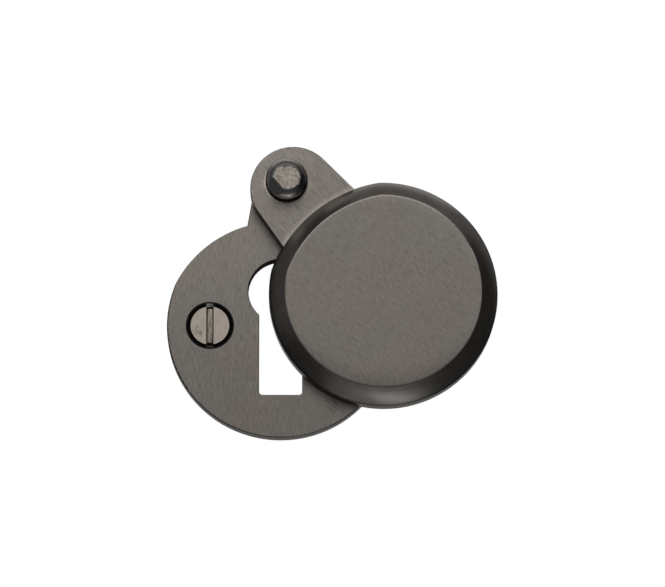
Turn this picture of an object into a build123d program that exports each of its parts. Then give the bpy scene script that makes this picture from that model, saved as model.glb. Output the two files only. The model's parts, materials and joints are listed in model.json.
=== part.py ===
from build123d import *
import os
from math import cos, radians, sin, tan

# Covered keyhole escutcheon: a round back plate with a keyhole, and a bevelled cover on a rivet.
# Each piece is drawn with the plate on its back: X to the right, Y up the plate, Z out of its front.
# At the end it is stood upright as on a door: X to the right, Z up, the front towards -Y,
# with the origin at the centre of the round plate's back face.
# All sizes are in millimetres and degrees.

# Round back plate
plate_diameter = 32.8
plate_thickness = 2.3
plate_edge_round = 0.2

# Ear of the plate, which carries the pivot above the round part
pivot_rise = 4.3  # pivot above the plate's round edge
ear_end_radius = 4.6
ear_flare = 7.4  # outward lean of each side
ear_lean = 2.25  # ear, rivet and shut cover turned clockwise from the keyhole's axis
ear_side_ease = 0.88  # plate's edge filed in beside the ear
ear_side_ease_angle = 68.0  # reach of the filing round the plate, to each side of the ear's middle

# Keyhole: a round eye with a straight tail below it
eye_diameter = 9.35
eye_rise = 5.1  # eye's centre above the plate's centre
tail_width = 6.2
tail_drop = 10.15  # tail's foot below the plate's centre
tail_corner_radius = 0.5
keyhole_edge_round = 0.12

# Swinging cover: a bevelled disc with a tab that lies over the ear
cover_lap = 0.06  # cover's edge past the plate's edge, all round
cover_drop = 0.87  # cover's centre below the plate's centre when it is shut
cover_side_shift = 0.15  # cover's middle line past the pivot, to the viewer's right when it is shut
cover_rim_height = 2.3
bevel_width = 2.4
bevel_height = 2.3
bevel_crown = 0.2  # rise of the bevel above a straight slope
flat_edge_round = 0.6  # where the flat meets the bevel
cover_edge_round = 0.15
tab_thickness = 2.5
tab_lap = 1.6  # tab's round end past the ear's
tab_end_shift = 1.3  # centre of the tab's round end, from the pivot towards the disc
tab_flare = 5.0  # outward lean of each side
tab_side_ease = 0.74  # disc's edge filed in beside the tab
tab_side_ease_angle = 34.0  # reach of the filing round the disc, to each side of the tab's middle
swing_angle = 42.05  # cover turned to the viewer's right of its shut place

# Pivot rivet: a shoulder for the cover to turn on, and a tail spread flush in the back of the plate
rivet_head_diameter = 6.1
rivet_head_height = 2.6
rivet_head_land = 1.2  # straight part of the head's side
rivet_top_diameter = 3.7  # flat worn on top of the dome
rivet_shoulder_diameter = 4.0
rivet_ledge = 0.5  # shoulder's step on the plate
rivet_tail_spread = 0.8
hammer_flat_direction = 222.0  # way the hammered flat faces, counter-clockwise from X
hammer_flat_offset = 1.46  # its upper edge from the rivet's axis
hammer_flat_lean = 24.0  # its normal's angle from the rivet's axis

# Slotted countersunk wood screws, one at each side of the keyhole
screw_inset = 6.2  # screw's axis in from the plate's edge
screw_length = 16.0
shank_diameter = 3.0
point_length = 4.0
point_flat = 0.3  # diameter of the blunt tip
head_flat_diameter = 5.7
head_groove = 0.54  # open groove round the flat of the head, at the plate's face
head_lip_depth = 0.4  # depth of the head's widest edge below the plate's face
head_sink = 0.05  # flat of the head below the plate's face
neck_swell = 0.08  # extra radius of the shank where it meets the head
neck_length = 0.5  # taper from there to the plain shank
countersink_angle = 90.0
slot_width = 1.05
slot_depth = 0.7

# Clearances
cover_gap = 0.1  # between the plate's face and the cover's back
rivet_head_gap = 0.1  # between the tab's face and the rivet's head
pivot_clearance = 0.05  # round the rivet's shoulder, in the cover's hole
seat_clearance = 0.03  # round the rivet's tail and under the screw heads
shank_clearance = 0.15  # round the screw shanks

# Places worked out from the sizes above
plate_radius = plate_diameter / 2
pivot_height = plate_radius + pivot_rise
cover_radius = plate_radius + cover_lap
cover_arm = pivot_height + cover_drop
cover_back = plate_thickness + cover_gap
rivet_head_seat = cover_back + tab_thickness + rivet_head_gap
screw_offset = plate_radius - screw_inset
cone_slope = tan(radians(countersink_angle / 2))
sink_mouth_radius = head_flat_diameter / 2 + head_groove
pivot_place = Rot(0, 0, -ear_lean) * Pos(0, pivot_height)


def turned(corners):
    """Solid of revolution about Z with these (radius, height) corners."""
    section = make_face(Polyline(*corners, close=True))
    return revolve(Plane.XZ * section, Axis.Z)


def raised(outline, thickness, edge_round):
    """Flat piece of this outline whose front edges are rounded."""
    blank = extrude(outline, amount=thickness)
    return fillet(blank.edges().group_by(Axis.Z)[-1], radius=edge_round)


def tongue(end_centre, end_radius, flare, foot_centre):
    """Outline with a round top end, and straight sides that spread towards its foot."""
    drop = end_centre.Y - foot_centre.Y
    half_foot = (end_radius + drop * sin(radians(flare))) / cos(radians(flare))
    side = Vector(end_radius * cos(radians(flare)), end_radius * sin(radians(flare)))
    sides = Polygon(
        end_centre + side,
        end_centre + Vector(-side.X, side.Y),
        foot_centre - Vector(half_foot, 0),
        foot_centre + Vector(half_foot, 0),
        align=None,
    )
    return sides + Pos(end_centre) * Circle(end_radius)


def keyhole_outline():
    """Round eye joined to a straight tail with rounded foot corners."""
    tail_length = eye_rise + tail_drop
    tail = Rectangle(tail_width, tail_length)
    tail = fillet(tail.vertices().group_by(Axis.Y)[0], radius=tail_corner_radius)
    tail = Pos(0, eye_rise - tail_length / 2) * tail
    return tail + Pos(0, eye_rise) * Circle(eye_diameter / 2)


def rivet_tail_corners(clearance):
    """Section of the rivet's tail through the plate, or of its hole with this clearance."""
    tenon_radius = rivet_shoulder_diameter / 2 - rivet_ledge + clearance
    spread_radius = tenon_radius + rivet_tail_spread
    return [
        (0, 0),
        (spread_radius, 0),
        (tenon_radius, rivet_tail_spread),
        (tenon_radius, plate_thickness),
        (0, plate_thickness),
    ]


def screw_hole():
    """Countersunk hole through the plate, on the screw's axis."""
    hole_radius = shank_diameter / 2 + shank_clearance
    cone_depth = (sink_mouth_radius - hole_radius) / cone_slope
    return turned([
        (0, 0),
        (hole_radius, 0),
        (hole_radius, plate_thickness - cone_depth),
        (sink_mouth_radius, plate_thickness),
        (0, plate_thickness),
    ])


def side_easing(radius, ease, reach):
    """Drop and radius of the larger circle that trims a disc at its top, by this ease and reach."""
    drop = ease / (1 - cos(radians(reach)))
    return drop, radius - ease + drop


def back_plate():
    """Round plate and ear in one piece, cut by the keyhole and the three fixing holes."""
    ear = tongue(Vector(0, 0), ear_end_radius, ear_flare, Vector(0, -pivot_height))
    drop, trim_radius = side_easing(plate_radius, ear_side_ease, ear_side_ease_angle)
    disc = Circle(plate_radius) & Rot(0, 0, -ear_lean) * Pos(0, -drop) * Circle(trim_radius)
    plate = raised(disc, plate_thickness, plate_edge_round)
    plate += pivot_place * raised(ear, plate_thickness, plate_edge_round)
    plate -= extrude(keyhole_outline(), amount=plate_thickness)
    front_face = plate.faces().sort_by(Axis.Z)[-1]
    plate = fillet(front_face.inner_wires().edges(), radius=keyhole_edge_round)
    plate -= pivot_place * turned(rivet_tail_corners(seat_clearance))
    for side in (-1, 1):
        plate -= Pos(side * screw_offset, 0) * screw_hole()
    return plate


def bevelled_disc(radius):
    """Disc with a straight rim and a slightly crowned bevel."""
    rim_top = Vector(radius, cover_rim_height)
    flat_edge = Vector(radius - bevel_width, cover_rim_height + bevel_height)
    outward = Vector(bevel_height, bevel_width).normalized()
    bevel = ThreePointArc(rim_top, (rim_top + flat_edge) / 2 + outward * bevel_crown, flat_edge)
    rest = Polyline(flat_edge, (0, flat_edge.Y), (0, 0), (radius, 0), rim_top)
    section = make_face(bevel + rest)
    for corner, edge_round in ((flat_edge, flat_edge_round), (rim_top, cover_edge_round)):
        section = fillet(section.vertices().sort_by_distance(corner)[0], radius=edge_round)
    return revolve(Plane.XZ * section, Axis.Z)


def swing_cover():
    """Bevelled disc and its tab in one piece, turned to its open place on the rivet."""
    disc_centre = Vector(cover_side_shift, -cover_arm)
    tab_centre = Vector(cover_side_shift, -tab_end_shift)
    drop, trim_radius = side_easing(cover_radius, tab_side_ease, tab_side_ease_angle)
    disc = bevelled_disc(cover_radius) & Pos(0, -drop) * bevelled_disc(trim_radius)
    tab_outline = tongue(tab_centre, ear_end_radius + tab_lap, tab_flare, disc_centre)
    cover = Pos(disc_centre) * disc + raised(tab_outline, tab_thickness, cover_edge_round)
    hole_radius = rivet_shoulder_diameter / 2 + pivot_clearance
    cover -= extrude(Circle(hole_radius), amount=tab_thickness)
    return pivot_place * Pos(0, 0, cover_back) * Rot(0, 0, swing_angle) * cover


def rivet_head():
    """Domed head with a worn flat on top and one hammered flat on its side."""
    head_radius = rivet_head_diameter / 2
    top_radius = rivet_top_diameter / 2
    outline = Polyline(
        (top_radius, rivet_head_height), (0, rivet_head_height), (0, 0), (head_radius, 0),
        (head_radius, rivet_head_land),
    )
    dome = TangentArc(
        (head_radius, rivet_head_land), (top_radius, rivet_head_height), tangent=(0, 1)
    )
    head = revolve(Plane.XZ * make_face(outline + dome), Axis.Z)
    direction = radians(hammer_flat_direction)
    lean = radians(hammer_flat_lean)
    flat_edge = Vector(
        hammer_flat_offset * cos(direction), hammer_flat_offset * sin(direction), rivet_head_height
    )
    outward = Vector(sin(lean) * cos(direction), sin(lean) * sin(direction), cos(lean))
    struck = Plane(flat_edge, z_dir=outward) * Rectangle(2 * rivet_head_diameter, 2 * rivet_head_diameter)
    return head - extrude(struck, amount=rivet_head_height)


def pivot_rivet():
    """Spread tail in the plate, shoulder in the cover, and the head over the tab."""
    shoulder_radius = rivet_shoulder_diameter / 2
    rivet = turned(rivet_tail_corners(0))
    rivet += Pos(0, 0, plate_thickness) * extrude(
        Circle(shoulder_radius), amount=rivet_head_seat - plate_thickness
    )
    rivet += Pos(0, 0, rivet_head_seat) * rivet_head()
    return pivot_place * rivet


def wood_screw():
    """Slotted screw with its flat just under the plate's face, its thread drawn at the outer size."""
    top = plate_thickness - head_sink
    lip_height = plate_thickness - head_lip_depth
    lip_radius = sink_mouth_radius - head_lip_depth * cone_slope - seat_clearance
    shank_radius = shank_diameter / 2
    neck_radius = shank_radius + neck_swell
    neck_height = lip_height - (lip_radius - neck_radius) / cone_slope
    tip_height = top - screw_length
    screw = turned([
        (0, top),
        (head_flat_diameter / 2, top),
        (lip_radius, lip_height),
        (neck_radius, neck_height),
        (shank_radius, neck_height - neck_length),
        (shank_radius, tip_height + point_length),
        (point_flat / 2, tip_height),
        (0, tip_height),
    ])
    slot = Box(slot_width, 2 * sink_mouth_radius, slot_depth, align=(Align.CENTER, Align.CENTER, Align.MAX))
    return screw - Pos(0, 0, top) * slot


pieces = {
    "back_plate": back_plate(),
    "swing_cover": swing_cover(),
    "pivot_rivet": pivot_rivet(),
    "left_screw": Pos(-screw_offset, 0) * wood_screw(),
    "right_screw": Pos(screw_offset, 0) * wood_screw(),
}

os.makedirs("parts", exist_ok=True)
for name, piece in pieces.items():
    export_step(Plane.XZ.location * piece, f"parts/{name}.step")
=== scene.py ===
import json
import math

import bmesh
import bpy
from mathutils import Matrix, Vector


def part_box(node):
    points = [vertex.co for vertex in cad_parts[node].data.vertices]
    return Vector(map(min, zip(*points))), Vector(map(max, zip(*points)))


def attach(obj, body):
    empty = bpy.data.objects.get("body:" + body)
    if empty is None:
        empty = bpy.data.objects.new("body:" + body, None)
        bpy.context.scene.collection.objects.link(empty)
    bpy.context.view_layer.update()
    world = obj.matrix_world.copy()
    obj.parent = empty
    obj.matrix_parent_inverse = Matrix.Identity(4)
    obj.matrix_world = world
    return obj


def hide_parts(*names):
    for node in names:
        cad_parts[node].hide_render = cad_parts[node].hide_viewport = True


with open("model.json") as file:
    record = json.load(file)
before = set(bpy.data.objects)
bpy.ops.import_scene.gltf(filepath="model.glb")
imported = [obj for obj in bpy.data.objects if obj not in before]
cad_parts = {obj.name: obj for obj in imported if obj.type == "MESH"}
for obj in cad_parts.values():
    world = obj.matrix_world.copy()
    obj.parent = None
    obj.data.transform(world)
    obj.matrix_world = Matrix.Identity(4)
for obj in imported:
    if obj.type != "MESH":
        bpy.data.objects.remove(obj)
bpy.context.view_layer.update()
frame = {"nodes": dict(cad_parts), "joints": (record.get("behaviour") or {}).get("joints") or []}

# Looks of a covered keyhole escutcheon in dark brushed bronze.
# Lengths are in metres, and MM turns millimetres into them. Angles are in degrees.
MM = 0.001


def mm(*lengths, past=0.0):
    """Lengths given in millimetres, each counted from a place given in metres."""
    return tuple(past + length * MM for length in lengths)


# Camera, which looks up at the front from a little below it
image_width = 665
camera_azimuth = -1.024
camera_elevation = -12.675
camera_roll = -0.118
camera_distance = 500 * MM
camera_target = Vector((7.513, 0.0, 5.261)) * MM
pixels_per_metre = 6890.0  # at the target
sensor_width = 36.0

# Studio round the object
floor_level = -160 * MM
floor_size = 6.0
floor_colour = (0.82, 0.82, 0.81)
paint_roughness = 0.9
paint_gloss = 0.1
room_colour = (1.0, 1.0, 1.0)
room_strength = 1.0
# Each card's grey and four corners, in millimetres
cards = {
    "left_low_card": (0.12, [(-95, -130, -160), (-95, 160, -160), (-95, 160, -25), (-95, -130, -25)]),
    "left_high_card": (0.42, [(-95, -100, -25), (-95, 160, -25), (-95, 160, 135), (-95, -80, 135)]),
    "right_card": (0.14, [(95, -120, -160), (95, 120, -160), (95, -10, 78), (95, -120, 78)]),
    "front_card": (0.45, [(-1500, -2600, -159), (1500, -2600, -159), (400, -150, -159), (-400, -150, -159)]),
}
# Each lamp's place, width and depth, and power in watts
lamps = {
    "front_softbox": ((0.0, -0.42, 0.33), (0.50, 0.30), 0.66),
    "overhead_strip": ((0.015, 0.225, 0.345), (0.44, 0.22), 1.0),
    "low_fill": ((0.030, -0.026, -0.155), (0.095, 0.06), 0.060),
}

# Places on the object that the finishes follow
plate_face = -2.3 * MM  # front of the plate, along Y
sink_radius = 3.39 * MM  # mouth of each countersink
screw_low, screw_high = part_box("left_screw")
screw_x = abs(screw_low.x + screw_high.x) / 2
pivot = Vector(frame["joints"][0]["pos_m"])
rivet_radius = 3.05 * MM
cover_low, cover_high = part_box("swing_cover")
cover_radius = 16.46 * MM
bevel_width = 2.4 * MM
flat_radius = cover_radius - bevel_width
disc_centre = Vector((cover_high.x - cover_radius, 0.0, cover_low.z + cover_radius))
cover_axis = (disc_centre - Vector((pivot.x, 0.0, pivot.z))).normalized()
swing = math.degrees(math.atan2(cover_axis.x, -cover_axis.z))
foot_shift = 4.33 * MM  # centre of the disc's eased side, past the disc's own centre
foot_radius = 20.05 * MM
foot_centre = disc_centre + cover_axis * foot_shift
tab_face = -4.9 * MM  # front of the tab, along Y
tab_length = 10 * MM  # from the disc's eased side to the tab's round end

# Colours, as reflectances
# brushed metal; also the colour of painted light on the countersinks and on the cover's bevel beside the tab
brushed_and_painted_light_colour = (0.143, 0.130, 0.117)
warm_colour = (0.146, 0.129, 0.1145)
patina_colour = (0.062, 0.0575, 0.053)
# painted shade on each rounded edge of the plate, the cover's rim and the tab
edge_shade_colour = (0.030, 0.028, 0.026)
back_colour = (0.085, 0.078, 0.070)
# painted shade in hollows and gaps: the walls of the keyhole and the countersinks, the screws' heads and the
# rivet's base
painted_shade_colour = (0.012, 0.011, 0.010)
# worn metal; also the colour of a painted reflection low on the rivet's dome
worn_and_painted_light_colour = (0.222, 0.199, 0.175)
dome_colour = (0.056, 0.0555, 0.054)
# painted sheen on the dome's sides
dome_sheen_colour = (0.150, 0.139, 0.127)
screw_colour = (0.280, 0.247, 0.213)
edge_tint = (0.49, 0.49, 0.49)  # share of the usual glare that the lacquered metal keeps at a grazing view

# Patterns in the metal: spots per millimetre, their detail, and the share of those spots along the grain
grain = (7.0, 4.0, 0.12)
broad_grain = (2.0, 3.0, 0.14)
grit = (5.0, 2.0, 1.0)
fine_grit = (6.0, 2.0, 1.0)
blotches = (0.15, 3.0, 1.0)
mottle = (0.5, 4.0, 1.0)
clouds = (0.9, 4.0, 1.0)
warm_patches = (0.12, 2.0, 1.0)
specks = (2.6, 2.0, 1.0)
smudge_strokes = (5.0, 3.0, 0.12)
# patches of the painted highlight beside the rivet
highlight_patches = (1.5, 3.0, 1.0)
ragged_edge = (1.6, 4.0, 1.0)
hammer_marks = (2.2, 4.0, 1.0)
pits = (3.5, 2.0, 1.0)
dents = (3.0, 4.0, 1.0)
screw_grain = (6.0, 4.0, 0.12)
slot_streaks = (3.0, 3.0, 0.25)
stain_patches = (1.4, 4.0, 1.0)
pattern_roughness = 0.6

# Most pairs below are borders of looks, from the value where a look starts to the value where it is full.
# Slopes are borders in how far a face's normal looks forward, or backward where the name says so.
# Depths lie along Y and heights along Z. Tones are shares of a colour's brightness. Pairs of tones, shares
# and roughnesses aren't borders: each is spread over a pattern or a look, from its least to its most.

# Brushed bronze of the plate and the cover
brushed_slope = (0.87, 0.91)
backward_slope = (0.96, 0.995)
polished_slopes = (0.88, 0.94), (0.999, 0.985)
warm_border = (0.42, 0.6)
speck_border = (0.74, 0.78)
grain_tones = (0.38, 1.62)
broad_grain_tones = (-0.12, 0.12)
fine_grit_tones = (-0.18, 0.18)
blotch_tones = (-0.06, 0.06)
mottle_tones = (0.75, 1.25)
back_grain_tones = (0.5, 1.5)
back_mottle_tones = (-0.3, 0.3)
painted_light_dullness = 0.35  # share of the painted light that doesn't shine as metal
patina_roughness = 0.34
grain_roughness = (-0.02, 0.14)
polish_roughness = -0.10
# extra roughness where shade is painted on the walls of the keyhole and the countersinks
recess_shade_roughness = 0.5
grain_relief = 0.004 * MM
relief_shares = (0.3, 1.0)  # on the patina and on brushed faces

# Plate
# Painted light: the plate grows brighter between these heights, by these tones
plate_light_heights = mm(-16, 22)
plate_light_tones = (0.90, 1.12)
plate_smudge = Vector((7.6, 0.0, -11.7)) * MM
smudge_border = mm(2.2, 0.2)
smudge_turn = 50.0
smudge_stroke_border = (0.3, 0.75)
smudge_tone = -0.4
# Painted shade on the plate's face just round the mouth of each countersink
sink_shade_border = mm(0.15, 0.05, past=sink_radius)
sink_shade_tone = -0.85
# Painted shade on each rounded edge of the plate
plate_edge_slopes = (0.12, 0.25), (0.985, 0.96)
cuts_border = mm(14.0, 13.3)  # circle round the plate's centre that holds the keyhole and the countersinks
# Painted shade on the sideways-facing walls of the keyhole and the countersinks
recess_shade_slope = (0.9, 0.75)
# Painted light on the countersinks behind the ends of the screws' slots, where light comes in through the
# slots
lit_sink_sides = mm(0.54, 0.48)
lit_sink_depths = mm(0.08, 0.14), mm(0.58, 0.52)
lit_sink_slope = (0.5, 0.6)
lit_sink_share = 0.35

# Cover, with distances from the disc's eased side counted towards the tab and heights from the pivot
cover_tone = 0.99
tab_depths = mm(-1.0, -0.5, past=tab_face)
flat_border = mm(0.08, -0.02)  # past the edge of the disc's flat
foot_start = mm(-0.4, -0.2)
foot_fade = mm(1.0, -0.1)
foot_tone = 0.55
tab_end_border = mm(-6, 0, past=tab_length)
tab_end_tone = 0.14
tab_nick = Vector((1.05, 0.0, 25.75)) * MM
nick_border = mm(0.26, 0.1)
nick_tone = -0.7
highlight_side = Vector((-0.93, 0.0, -0.37))  # side of the rivet where an arc of painted highlight lies on the tab
arc_border = mm(0.3, 0.12, past=rivet_radius)
arc_sides = mm(1.6, 2.7)
highlight_patch_border = (0.3, 0.5)
arc_tone = 1.6
# Painted light in a half circle below the rivet, over the shade at its foot
light_ring_border = mm(0.95, 0.05, past=rivet_radius)
light_ring_heights = mm(1.5, -1.0)
light_ring_tone = 0.65
# Painted highlight on the flat's upper edge, painted shade on its lower edge and on the cover low down
upper_edge_highlight_border = mm(-1.5, 0.0, past=flat_radius)
upper_edge_highlight_heights = mm(-16, -9)
upper_edge_highlight_tone = 0.12
lower_edge_shade_border = mm(-2.6, 0.0, past=flat_radius)
lower_edge_shade_heights = mm(-20, -28)
lower_edge_shade_tone = -0.2
low_shade_heights = mm(-22, -36)
low_shade_tone = -0.08
cover_edge_slope = (0.08, 0.2)
rim_edge_slope = (0.5, 0.4)
tab_edge_slope = (0.92, 0.85)
tab_edge_depths = mm(-0.1, 0.0, past=tab_face)
by_tab_border = (0.90, 0.97)  # cosine of the angle from the tab, round the disc's centre
by_tab_depths = mm(-0.02, -0.1, past=tab_face)
# Painted light on the outer part of the bevel beside the tab, and painted shade next to the flat
lit_bevel_border = mm(-2.0, -0.6)
shaded_bevel_border = mm(-1.0, -2.1)
shaded_bevel_share = 0.9

# Rivet, with places counted from its axis
worn_width = 2.0 * MM  # half sizes of the worn oval on its top
worn_height = 1.72 * MM
ragged_shares = (-0.2, 0.2)
worn_border = (1.02, 0.94)  # in shares of the oval's half sizes
worn_slope = (0.93, 0.96)
hammer_tones = (0.1, 1.9)
worn_grit_tones = (-0.7, 0.7)
pit_border = (0.60, 0.68)
pit_tone = -0.4
cloud_border = (0.35, 0.6)
# Painted sheen on the dome's sides
sheen_band_slopes = (0.15, 0.35), (0.88, 0.76)
sheen_band_shares = (0.5, 1.0)
# Painted shade on the dome's right side
right_shade_side = mm(0.6, 2.2)
right_shade_share = 0.55
# Painted reflection of the tab's face, low on the dome
low_reflection_heights = mm(-1.6, -2.4)
low_reflection_slope = (0.62, 0.4)
low_reflection_share = 0.7
# Painted shade at the dome's base, where it meets the tab
root_slope = (0.38, 0.2)
root_backward_slope = (0.5, 0.2)
tail_backward_slope = (0.9, 0.98)
tail_tones = (0.75, 1.25)
dome_roughness = 0.22
top_roughness = 0.23  # this and the next four are added to the dome's
sheen_band_roughness = 0.16
low_reflection_roughness = 0.25
root_roughness = 0.2
tail_roughness = 0.15
dent_relief = 0.01 * MM

# Metal of the wood screws, with places counted from the middle of the head's flat
head_slope = (0.9, 0.985)
screw_grain_turn = 8.0
screw_grain_tones = (0.7, 1.3)
screw_cloud_tones = (-0.2, 0.2)
screw_grit_tones = (-0.1, 0.1)
left_stain = mm(-1.6, 0.0, -0.9)
right_stain = mm(1.1, 0.0, 1.2)
stain_border = mm(1.3, 0.3)
stain_patch_border = (0.42, 0.62)
stain_tone = -0.4
slot_depths = mm(0.2, 0.5)
# Painted shade along the slot's sides and at its lower end
slot_sides = mm(0.31, 0.39)
slot_side_tones = (1.0, 0.05)
slot_end = mm(-2.5, -2.25)
slot_streak_tones = (-0.3, 1.7)
crest_border = mm(1.36, 1.46)
crest_depths = mm(5.5, 6.5)
crest_share = 0.6
# Painted shade round the head, down to these depths below its flat
head_shade_depths = mm(2.4, 2.0)
screw_roughness = (0.38, 0.42)

# Shape of the wood screws
head_flat_radius = 2.85 * MM
head_edge_break = 0.06 * MM
head_lip_radius = 2.95 * MM
head_lip_depth = 0.35 * MM  # below the flat of the head
neck_radius = 1.58 * MM
neck_length = 0.5 * MM
shank_radius = 1.5 * MM
slot_width = 1.05 * MM
slot_depth = 0.7 * MM
point_length = 4.0 * MM
point_radius = 0.15 * MM
thread_pitch = 1.25 * MM
thread_depth = 0.42 * MM
thread_start = 6.2 * MM  # below the flat of the head
thread_run_in = 1.2 * MM
crest_half_width = 0.05  # of the thread, as a share of its pitch
flank_width = 0.28
thread_rows = 14  # rows of faces in each turn
screw_sides = 64
sharp_angle = 35


class Finish:
    """Procedural metal, whose nodes are made by short calls that take numbers or other nodes' outputs."""

    def __init__(self, name):
        self.material = bpy.data.materials.new(name)
        self.material.use_nodes = True
        self.tree = self.material.node_tree
        self.shader = self.tree.nodes["Principled BSDF"]
        self.look("Metallic", 1.0)
        self.look("Specular Tint", edge_tint)
        coordinates = self.node("ShaderNodeTexCoord")
        self.place = coordinates.outputs["Object"]
        self.backward = self.parts(coordinates.outputs["Normal"])[1]
        self.forward = self.product(self.backward, -1.0)

    def node(self, kind, inputs=None, **settings):
        made = self.tree.nodes.new(kind)
        for key, value in settings.items():
            setattr(made, key, value)
        for key, value in (inputs or {}).items():
            self.feed(made.inputs[key], value)
        return made

    def feed(self, socket, value):
        if isinstance(value, bpy.types.NodeSocket):
            self.tree.links.new(value, socket)
        elif socket.type == "RGBA":
            socket.default_value = (*value, 1.0)
        else:
            socket.default_value = value

    def look(self, name, value):
        """Gives the shader one of its values."""
        self.feed(self.shader.inputs[name], value)

    def math(self, operation, first, second=0.0):
        return self.node("ShaderNodeMath", {0: first, 1: second}, operation=operation).outputs[0]

    def product(self, first, *others):
        for other in others:
            first = self.math("MULTIPLY", first, other)
        return first

    def total(self, first, *others):
        for other in others:
            first = self.math("ADD", first, other)
        return first

    def rest(self, share):
        """What a share leaves of the whole."""
        return self.math("SUBTRACT", 1.0, share)

    def vector(self, operation, first, second):
        return self.node("ShaderNodeVectorMath", {0: first, 1: second}, operation=operation).outputs[0]

    def dot(self, first, second):
        inputs = {0: first, 1: second}
        return self.node("ShaderNodeVectorMath", inputs, operation="DOT_PRODUCT").outputs["Value"]

    def length(self, vector):
        return self.node("ShaderNodeVectorMath", {0: vector}, operation="LENGTH").outputs["Value"]

    def parts(self, vector):
        """X, Y and Z of a vector."""
        outputs = self.node("ShaderNodeSeparateXYZ", {0: vector}).outputs
        return outputs["X"], outputs["Y"], outputs["Z"]

    def step(self, value, border):
        """Smooth rise from 0 where the value is at the border's start to 1 where it is at its end."""
        start, end = border
        inputs = {"Value": value, "From Min": start, "From Max": end}
        return self.node("ShaderNodeMapRange", inputs, interpolation_type="SMOOTHSTEP").outputs["Result"]

    def between(self, value, rise, fall):
        """1 where the value is past one border and short of another."""
        return self.product(self.step(value, rise), self.step(value, fall))

    def spread(self, value, ends):
        """Value from 0 to 1 laid out between two ends."""
        low, high = ends
        inputs = {"Value": value, "To Min": low, "To Max": high}
        return self.node("ShaderNodeMapRange", inputs).outputs["Result"]

    def mix(self, share, first, second):
        """Colour between the first, at a share of 0, and the second."""
        # The node's inputs 6 and 7 and its output 2 are those for colours.
        return self.node("ShaderNodeMix", {0: share, 6: first, 7: second}, data_type="RGBA").outputs[2]

    def shade(self, colour, factor):
        """Colour made lighter or darker by a factor."""
        return self.node("ShaderNodeVectorMath", {0: colour, "Scale": factor}, operation="SCALE").outputs[0]

    def from_axis(self, centre):
        """Distance from a line along Y through a centre."""
        offset = self.vector("SUBTRACT", self.place, centre)
        return self.length(self.vector("MULTIPLY", offset, (1.0, 0.0, 1.0)))

    def noise(self, pattern, turn=0.0):
        """Noise in one of the patterns, with its grain along Z unless it is turned about Y."""
        spots, detail, share_along = pattern
        turned = self.node(
            "ShaderNodeVectorRotate",
            {"Vector": self.place, "Axis": (0.0, 1.0, 0.0), "Angle": math.radians(turn)},
            rotation_type="AXIS_ANGLE",
        ).outputs[0]
        drawn = self.vector("MULTIPLY", turned, (1.0, 1.0, share_along))
        inputs = {"Vector": drawn, "Scale": spots / MM, "Detail": detail, "Roughness": pattern_roughness}
        return self.node("ShaderNodeTexNoise", inputs).outputs["Fac"]

    def bump(self, height, depth):
        made = self.node("ShaderNodeBump", {"Height": height, "Distance": depth})
        self.look("Normal", made.outputs["Normal"])


def brushed_bronze(name, turn, gleam, painted_shade_and_light, reach=None):
    """Dark patina, brushed back to paler metal on faces that look forward, with the grain turned about Y.

    Gleam makes a Finish's brightness of the brushed metal, some of it painted light and shade. The function
    after it makes its shares of painted shade on each rounded edge, painted shade in hollows and painted
    light. Reach makes the share of each place that the brushing reaches, which is the whole without it.
    """
    finish = Finish(name)
    fine = finish.noise(grain, turn)
    mottled = finish.noise(mottle)
    brushed = finish.step(finish.forward, brushed_slope)
    if reach:
        brushed = finish.product(brushed, reach(finish))
    back = finish.step(finish.backward, backward_slope)
    edge_shade, recess_shade, painted_light = painted_shade_and_light(finish)
    tone = finish.total(
        finish.spread(fine, grain_tones),
        finish.spread(finish.noise(broad_grain, turn), broad_grain_tones),
        finish.spread(finish.noise(fine_grit), fine_grit_tones),
        finish.spread(finish.noise(blotches), blotch_tones),
    )
    pale = finish.mix(finish.step(finish.noise(warm_patches), warm_border), brushed_and_painted_light_colour, warm_colour)
    pale = finish.shade(pale, finish.product(tone, gleam(finish)))
    metal = finish.shade(patina_colour, finish.spread(mottled, mottle_tones))
    speckled = finish.step(finish.noise(specks), speck_border)
    linished = finish.total(finish.spread(fine, back_grain_tones), finish.spread(mottled, back_mottle_tones))
    coats = (
        (speckled, brushed_and_painted_light_colour),
        # painted shade on each rounded edge
        (edge_shade, edge_shade_colour),
        # painted shade on the walls of the keyhole and the countersinks
        (recess_shade, painted_shade_colour),
        # painted light
        (painted_light, brushed_and_painted_light_colour),
        (back, finish.shade(back_colour, linished)),
        (brushed, pale),
    )
    for share, colour in coats:
        metal = finish.mix(share, metal, colour)
    finish.look("Base Color", metal)
    # where light is painted, part of the metal shines as a dull surface
    finish.look("Metallic", finish.rest(finish.product(painted_light, painted_light_dullness)))
    polish = finish.between(finish.forward, *polished_slopes)
    finish.look("Roughness", finish.total(
        patina_roughness,
        finish.product(brushed, finish.spread(fine, grain_roughness)),
        finish.product(polish, polish_roughness),
        finish.product(recess_shade, recess_shade_roughness),
    ))
    relief = finish.spread(finish.math("MAXIMUM", brushed, back), relief_shares)
    finish.bump(finish.product(fine, relief), grain_relief)
    return finish.material


def plate_gleam(finish):
    """Brightness of the plate's brushing: painted light that grows upwards, less in a smudge, and painted
    shade round the countersinks.
    """
    across, _, height = finish.parts(finish.place)
    # painted light, brighter towards the top
    rise = finish.spread(finish.step(height, plate_light_heights), plate_light_tones)
    smudge = finish.step(finish.from_axis(plate_smudge), smudge_border)
    strokes = finish.step(finish.noise(smudge_strokes, smudge_turn), smudge_stroke_border)
    beside = finish.total(finish.math("ABSOLUTE", across), -screw_x)
    away = finish.math("SQRT", finish.total(finish.product(beside, beside), finish.product(height, height)))
    # painted shade just round the mouth of each countersink
    sink_shade = finish.step(away, sink_shade_border)
    return finish.total(
        rise,
        finish.product(smudge, strokes, smudge_tone),
        finish.product(sink_shade, sink_shade_tone),
    )


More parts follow.
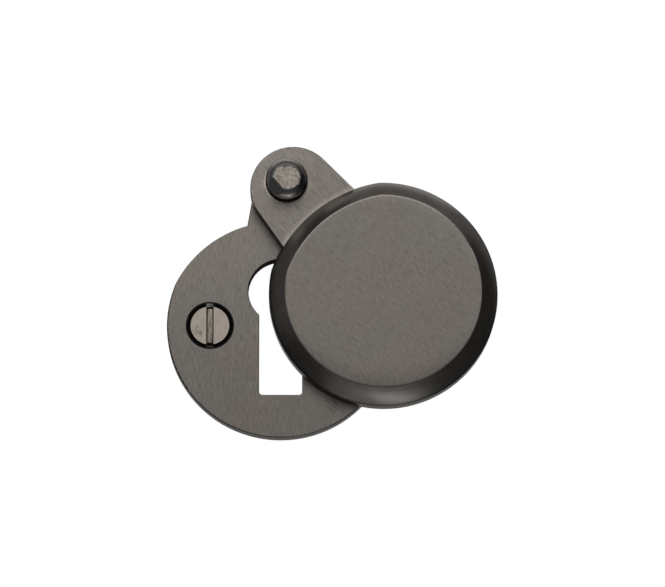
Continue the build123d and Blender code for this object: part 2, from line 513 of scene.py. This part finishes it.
def plate_painted_shade_and_light(finish):
    """Shares of painted shade on each rounded edge, of painted shade on the walls of the keyhole and the
    countersinks, and of painted light.

    The light is painted on the countersinks where the ends of the screws' slots let light in, and the shade
    is left off there.
    """
    slope = finish.math("ABSOLUTE", finish.forward)
    # painted shade on each rounded edge
    edge_shade = finish.between(slope, *plate_edge_slopes)
    in_cuts = finish.step(finish.from_axis((0.0, 0.0, 0.0)), cuts_border)
    across, along, _ = finish.parts(finish.place)
    beside = finish.math("ABSOLUTE", finish.total(finish.math("ABSOLUTE", across), -screw_x))
    # painted light where light comes in through the ends of the screws' slots
    slot_lit = finish.product(
        finish.step(beside, lit_sink_sides),
        finish.between(finish.total(along, -plate_face), *lit_sink_depths),
        finish.step(slope, lit_sink_slope),
    )
    # painted shade on the walls of the keyhole and the countersinks, left off where light comes in through
    # the slots
    recess_shade = finish.product(in_cuts, finish.step(slope, recess_shade_slope), finish.rest(slot_lit))
    return edge_shade, recess_shade, finish.product(slot_lit, lit_sink_share)


def past_foot(finish):
    """Distance past the disc's eased side, towards the tab."""
    return finish.total(finish.from_axis(foot_centre), -foot_radius)


def cover_reach(finish):
    """The brushing reaches all of the tab's face, and the disc's face up to its bevel."""
    _, depth, _ = finish.parts(finish.place)
    past_flat = [
        finish.total(finish.from_axis(centre), bevel_width - radius)
        for centre, radius in ((disc_centre, cover_radius), (foot_centre, foot_radius))
    ]
    within = finish.product(*(finish.step(distance, flat_border) for distance in past_flat))
    return finish.math("MAXIMUM", finish.step(depth, tab_depths), within)


def tab_gleam(finish):
    """Brightness added to the tab at the disc's foot and towards its round end, and lost in a nick."""
    beyond = past_foot(finish)
    near = finish.step(beyond, foot_fade)
    foot = finish.product(near, near, finish.step(beyond, foot_start), foot_tone)
    end = finish.product(finish.step(beyond, tab_end_border), tab_end_tone)
    nick = finish.product(finish.step(finish.from_axis(tab_nick), nick_border), nick_tone)
    return finish.total(foot, end, nick)


def light_round_rivet(finish, offset):
    """Brightness added round the rivet: a painted highlight in an arc at one side, and painted light in a
    half circle below that lifts the shade at the rivet's foot.
    """
    away = finish.from_axis(pivot)
    _, _, height = finish.parts(offset)
    # painted highlight in an arc beside the rivet
    arc = finish.product(
        finish.step(away, arc_border),
        finish.step(finish.dot(offset, highlight_side), arc_sides),
        finish.step(finish.noise(highlight_patches), highlight_patch_border),
        arc_tone,
    )
    # painted light below the rivet, over the shade at its foot
    light_ring = finish.product(
        finish.step(away, light_ring_border), finish.step(height, light_ring_heights), light_ring_tone
    )
    return finish.total(arc, light_ring)


def cover_gleam(finish):
    """Brightness of the cover's brushing, with its changes on the tab and round the rivet.

    The flat's upper edge has a painted highlight, and the tab is brighter at the disc's foot and towards its
    round end.
    The flat's lower edge has painted shade, and the cover has painted shade low down.
    """
    offset = finish.vector("SUBTRACT", finish.place, pivot)
    _, _, height = finish.parts(offset)
    from_centre = finish.from_axis(disc_centre)
    # painted highlight on the flat's upper edge
    upper_edge_highlight = finish.product(
        finish.step(from_centre, upper_edge_highlight_border), finish.step(height, upper_edge_highlight_heights), upper_edge_highlight_tone
    )
    # painted shade on the flat's lower edge
    lower_edge_shade = finish.product(
        finish.step(from_centre, lower_edge_shade_border), finish.step(height, lower_edge_shade_heights), lower_edge_shade_tone
    )
    # painted shade, darker low down
    low = finish.product(finish.step(height, low_shade_heights), low_shade_tone)
    return finish.total(
        cover_tone,
        tab_gleam(finish),
        light_round_rivet(finish, offset),
        upper_edge_highlight,
        lower_edge_shade,
        low,
    )


def cover_painted_shade_and_light(finish):
    """Shares of painted shade on each rounded edge, of painted shade in hollows, which is none, and of
    painted light low on the bevel beside the tab.

    The tab's edge and the rim's get painted shade, and so does the bevel beside the tab where it meets the
    flat.
    """
    _, depth, _ = finish.parts(finish.place)
    tab_edge = finish.product(
        finish.step(depth, tab_edge_depths), finish.step(finish.forward, tab_edge_slope)
    )
    rim_edge = finish.step(finish.forward, rim_edge_slope)
    # painted shade on the rounded edge of the rim and of the tab
    edge_shade = finish.product(
        finish.step(finish.forward, cover_edge_slope), finish.math("MAXIMUM", tab_edge, rim_edge)
    )
    offset = finish.vector("SUBTRACT", finish.place, disc_centre)
    towards_tab = finish.math("DIVIDE", finish.dot(offset, -cover_axis), finish.from_axis(disc_centre))
    by_tab = finish.product(finish.step(towards_tab, by_tab_border), finish.step(depth, by_tab_depths))
    beyond = past_foot(finish)
    # painted light on the bevel beside the tab, lifting the shade near the tab
    painted_light = finish.product(by_tab, finish.step(beyond, lit_bevel_border))
    # painted shade on the bevel beside the tab, next to the flat
    shaded = finish.product(by_tab, finish.step(beyond, shaded_bevel_border), shaded_bevel_share)
    return finish.math("MAXIMUM", edge_shade, shaded), 0.0, painted_light


def rivet_bronze():
    """Near-black dome with a paler stripe of painted sheen low down, bright where use and the hammer have
    worn its top.

    The dome has painted shade on its right and at its base, and a painted reflection of the tab below. The
    tail looks like the plate's back.
    """
    finish = Finish("worn_rivet")
    offset = finish.vector("SUBTRACT", finish.place, pivot)
    across, _, height = finish.parts(offset)
    cloudy = finish.step(finish.noise(clouds), cloud_border)
    oval = finish.vector("MULTIPLY", offset, (1.0 / worn_width, 0.0, 1.0 / worn_height))
    ragged = finish.total(finish.length(oval), finish.spread(finish.noise(ragged_edge), ragged_shares))
    top = finish.product(finish.step(ragged, worn_border), finish.step(finish.forward, worn_slope))
    top_tone = finish.total(
        finish.spread(finish.noise(hammer_marks), hammer_tones),
        finish.spread(finish.noise(grit), worn_grit_tones),
        finish.product(finish.step(finish.noise(pits), pit_border), pit_tone),
    )
    # painted sheen on the dome's sides
    sheen_band = finish.product(finish.between(finish.forward, *sheen_band_slopes), finish.spread(cloudy, sheen_band_shares))
    # painted shade on the dome's right side
    right_shade = finish.product(finish.step(across, right_shade_side), right_shade_share)
    # painted reflection of the tab's face, low on the dome
    low_reflection = finish.product(finish.step(height, low_reflection_heights), finish.step(finish.forward, low_reflection_slope))
    # painted shade at the dome's base, where it meets the tab
    root_shade = finish.product(
        finish.step(finish.forward, root_slope), finish.step(finish.backward, root_backward_slope)
    )
    tail = finish.step(finish.backward, tail_backward_slope)
    metal = finish.shade(finish.mix(sheen_band, dome_colour, dome_sheen_colour), finish.rest(right_shade))
    coats = (
        # painted reflection of the tab's face
        (finish.product(low_reflection, low_reflection_share), worn_and_painted_light_colour),
        # painted shade at the dome's base
        (root_shade, painted_shade_colour),
        (tail, finish.shade(back_colour, finish.spread(cloudy, tail_tones))),
        (top, finish.shade(worn_and_painted_light_colour, top_tone)),
    )
    for share, colour in coats:
        metal = finish.mix(share, metal, colour)
    finish.look("Base Color", metal)
    finish.look("Roughness", finish.total(
        dome_roughness,
        finish.product(top, top_roughness),
        finish.product(sheen_band, sheen_band_roughness),
        finish.product(low_reflection, low_reflection_roughness),
        finish.product(root_shade, root_roughness),
        finish.product(tail, tail_roughness),
    ))
    finish.bump(finish.noise(dents), dent_relief)
    return finish.material


def screw_bronze(name, stain):
    """Bright brushed head with a stain and a streaked slot, painted shade round the head and patina on the
    shank.

    The slot's sides and its lower end are darkened with painted shade, and the crests of the thread are worn
    paler.
    """
    finish = Finish(name)
    fine = finish.noise(screw_grain, screw_grain_turn)
    across, below, height = finish.parts(finish.place)
    flat = finish.step(finish.forward, head_slope)
    stained = finish.product(
        finish.step(finish.from_axis(stain), stain_border),
        finish.step(finish.noise(stain_patches), stain_patch_border),
        stain_tone,
    )
    head_tone = finish.total(
        finish.spread(fine, screw_grain_tones),
        finish.spread(finish.noise(clouds), screw_cloud_tones),
        finish.spread(finish.noise(grit), screw_grit_tones),
        stained,
    )
    slot_tone = finish.product(
        finish.spread(finish.noise(slot_streaks), slot_streak_tones),
        # painted shade along the slot's sides
        finish.spread(finish.step(finish.math("ABSOLUTE", across), slot_sides), slot_side_tones),
        # painted shade at the slot's lower end
        finish.step(height, slot_end),
    )
    in_slot = finish.step(below, slot_depths)
    tone = finish.total(finish.product(head_tone, finish.rest(in_slot)), finish.product(slot_tone, in_slot))
    crest = finish.product(
        finish.step(finish.from_axis((0.0, 0.0, 0.0)), crest_border),
        finish.step(below, crest_depths),
        crest_share,
    )
    shank = finish.mix(crest, patina_colour, screw_colour)
    # painted shade round the head
    dark = finish.mix(finish.step(below, head_shade_depths), shank, painted_shade_colour)
    finish.look("Base Color", finish.mix(flat, dark, finish.shade(screw_colour, tone)))
    finish.look("Roughness", finish.spread(flat, screw_roughness))
    finish.bump(fine, grain_relief)
    return finish.material


def put(name, data):
    made = bpy.data.objects.new(name, data)
    bpy.context.scene.collection.objects.link(made)
    return made


def mesh_of(name, corners, faces):
    mesh = bpy.data.meshes.new(name)
    mesh.from_pydata(corners, [], faces)
    mesh.update()
    return mesh


def screw_rings(length):
    """Radius of the screw, before its thread is cut, at each depth below the flat of its head."""
    head_side = head_flat_radius - head_edge_break
    neck_depth = head_lip_depth + head_lip_radius - neck_radius
    rings = [
        (0.0, head_side / 2),
        (0.0, head_side),
        (head_edge_break, head_flat_radius),
        (head_lip_depth, head_lip_radius),
        (neck_depth, neck_radius),
        (neck_depth + neck_length, shank_radius),
    ]
    point_start = length - point_length
    rows = round((length - thread_start) / thread_pitch * thread_rows)
    for row in range(rows + 1):
        depth = thread_start + (length - thread_start) * row / rows
        taper = max(0.0, depth - point_start) / point_length
        rings.append((depth, shank_radius + (point_radius - shank_radius) * taper))
    return rings


def thread_cut(depth, turn, radius):
    """Depth of the thread's groove at a place, right-handed and fading in below the plain shank."""
    phase = (depth / thread_pitch - turn / math.tau) % 1.0
    from_crest = min(phase, 1.0 - phase)
    groove = min(1.0, max(0.0, (from_crest - crest_half_width) / flank_width))
    fade = min(1.0, max(0.0, (depth - thread_start) / thread_run_in))
    smooth = groove * groove * (3.0 - 2.0 * groove)
    return thread_depth * smooth * fade * radius / shank_radius


def screw_blank(name, length):
    """Mesh of a screw with its thread and without its slot, along Y from the middle of its head."""
    rings = screw_rings(length)
    corners = [(0.0, 0.0, 0.0)]
    for depth, radius in rings:
        for side in range(screw_sides):
            turn = math.tau * side / screw_sides
            reach = radius - thread_cut(depth, turn, radius)
            corners.append((reach * math.sin(turn), depth, reach * math.cos(turn)))
    corners.append((0.0, length, 0.0))
    faces = []
    point = len(corners) - 1
    last_ring = point - screw_sides
    for side in range(screw_sides):
        beside = (side + 1) % screw_sides
        faces.append((0, 1 + side, 1 + beside))
        for start in range(1, last_ring, screw_sides):
            end = start + screw_sides
            faces.append((start + side, end + side, end + beside, start + beside))
        faces.append((last_ring + side, point, last_ring + beside))
    return mesh_of(name, corners, faces)


def slot_cutter(name):
    """Block that stands half above a screw's head and runs out past it on both sides."""
    cutter = put(name, bpy.data.meshes.new(name))
    shape = bmesh.new()
    bmesh.ops.create_cube(shape, size=1.0)
    bmesh.ops.scale(shape, verts=shape.verts, vec=(slot_width, 2 * slot_depth, 4 * head_flat_radius))
    shape.to_mesh(cutter.data)
    shape.free()
    return cutter


def wood_screw(name, node, finish):
    """Slotted screw with a cut thread, in the place of its solid."""
    low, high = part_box(node)
    blank = put(name + "_blank", screw_blank(name, high.y - low.y))
    cutter = slot_cutter(name + "_cutter")
    cut = blank.modifiers.new("slot", "BOOLEAN")
    cut.operation = "DIFFERENCE"
    cut.object = cutter
    cut.solver = "EXACT"
    bpy.context.view_layer.update()
    solid = bpy.data.meshes.new_from_object(blank.evaluated_get(bpy.context.evaluated_depsgraph_get()))
    solid.name = name
    bpy.data.objects.remove(blank)
    bpy.data.objects.remove(cutter)
    solid.materials.clear()
    solid.materials.append(finish)
    solid.shade_smooth()
    solid.set_sharp_from_angle(angle=math.radians(sharp_angle))
    screw = put(name, solid)
    screw.location = ((low.x + high.x) / 2, low.y, (low.z + high.z) / 2)
    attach(screw, "plate")
    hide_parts(node)


def dress(node, finish):
    """Gives a CAD node its finish."""
    for slot in frame["nodes"][node].material_slots:
        slot.material = finish


def plain_material(name, colour):
    material = bpy.data.materials.new(name)
    material.use_nodes = True
    shader = material.node_tree.nodes["Principled BSDF"]
    shader.inputs["Base Color"].default_value = (*colour, 1.0)
    shader.inputs["Roughness"].default_value = paint_roughness
    shader.inputs["Specular IOR Level"].default_value = paint_gloss
    return material


def sheet(name, corners, colour):
    """Flat stage piece with four corners."""
    made = put(name, mesh_of(name, corners, [(0, 1, 2, 3)]))
    made.data.materials.append(plain_material(name + "_paint", colour))
    return made


def area_lamp(name, place, size, power):
    """Soft lamp that faces the object."""
    lamp = bpy.data.lights.new(name, "AREA")
    lamp.shape = "RECTANGLE"
    lamp.size, lamp.size_y = size
    lamp.energy = power
    made = put(name, lamp)
    made.location = place
    made.rotation_mode = "QUATERNION"
    made.rotation_quaternion = (-Vector(place)).to_track_quat("-Z", "Y")
    made.visible_camera = False


def studio():
    """Pale floor, darker cards that show only in the metal, soft lamps and a white room."""
    half = floor_size / 2
    floor_corners = [(x * half, y * half, floor_level) for x, y in ((-1, -1), (1, -1), (1, 1), (-1, 1))]
    sheet("floor", floor_corners, floor_colour)
    for name, (grey, corners) in cards.items():
        card = sheet(name, [Vector(corner) * MM for corner in corners], (grey, grey, grey))
        card.visible_camera = False
        card.visible_diffuse = False
        card.visible_shadow = False
    for name, (place, size, power) in lamps.items():
        area_lamp(name, place, size, power)
    world = bpy.data.worlds.new("white_room")
    world.use_nodes = True
    background = world.node_tree.nodes["Background"]
    background.inputs["Color"].default_value = (*room_colour, 1.0)
    background.inputs["Strength"].default_value = room_strength
    bpy.context.scene.world = world


def camera():
    azimuth, elevation, roll = (math.radians(x) for x in (camera_azimuth, camera_elevation, camera_roll))
    back = Vector((
        math.sin(azimuth) * math.cos(elevation),
        -math.cos(azimuth) * math.cos(elevation),
        math.sin(elevation),
    ))
    level = Vector((0.0, 0.0, 1.0)).cross(back).normalized()
    upright = back.cross(level)
    right = math.cos(roll) * level + math.sin(roll) * upright
    up = math.cos(roll) * upright - math.sin(roll) * level
    lens = bpy.data.cameras.new("camera")
    lens.sensor_width = sensor_width
    lens.lens = pixels_per_metre * camera_distance * sensor_width / image_width
    made = put("camera", lens)
    turned = Matrix((right, up, back)).transposed().to_4x4()
    made.matrix_world = Matrix.Translation(camera_target + back * camera_distance) @ turned
    bpy.context.scene.camera = made


dress("back_plate", brushed_bronze("brushed_plate", 0.0, plate_gleam, plate_painted_shade_and_light))
dress("swing_cover", brushed_bronze("brushed_cover", swing, cover_gleam, cover_painted_shade_and_light, cover_reach))
dress("pivot_rivet", rivet_bronze())
wood_screw("left_wood_screw", "left_screw", screw_bronze("left_screw_metal", left_stain))
wood_screw("right_wood_screw", "right_screw", screw_bronze("right_screw_metal", right_stain))
studio()
camera()
bpy.context.scene.view_settings.view_transform = "Standard"
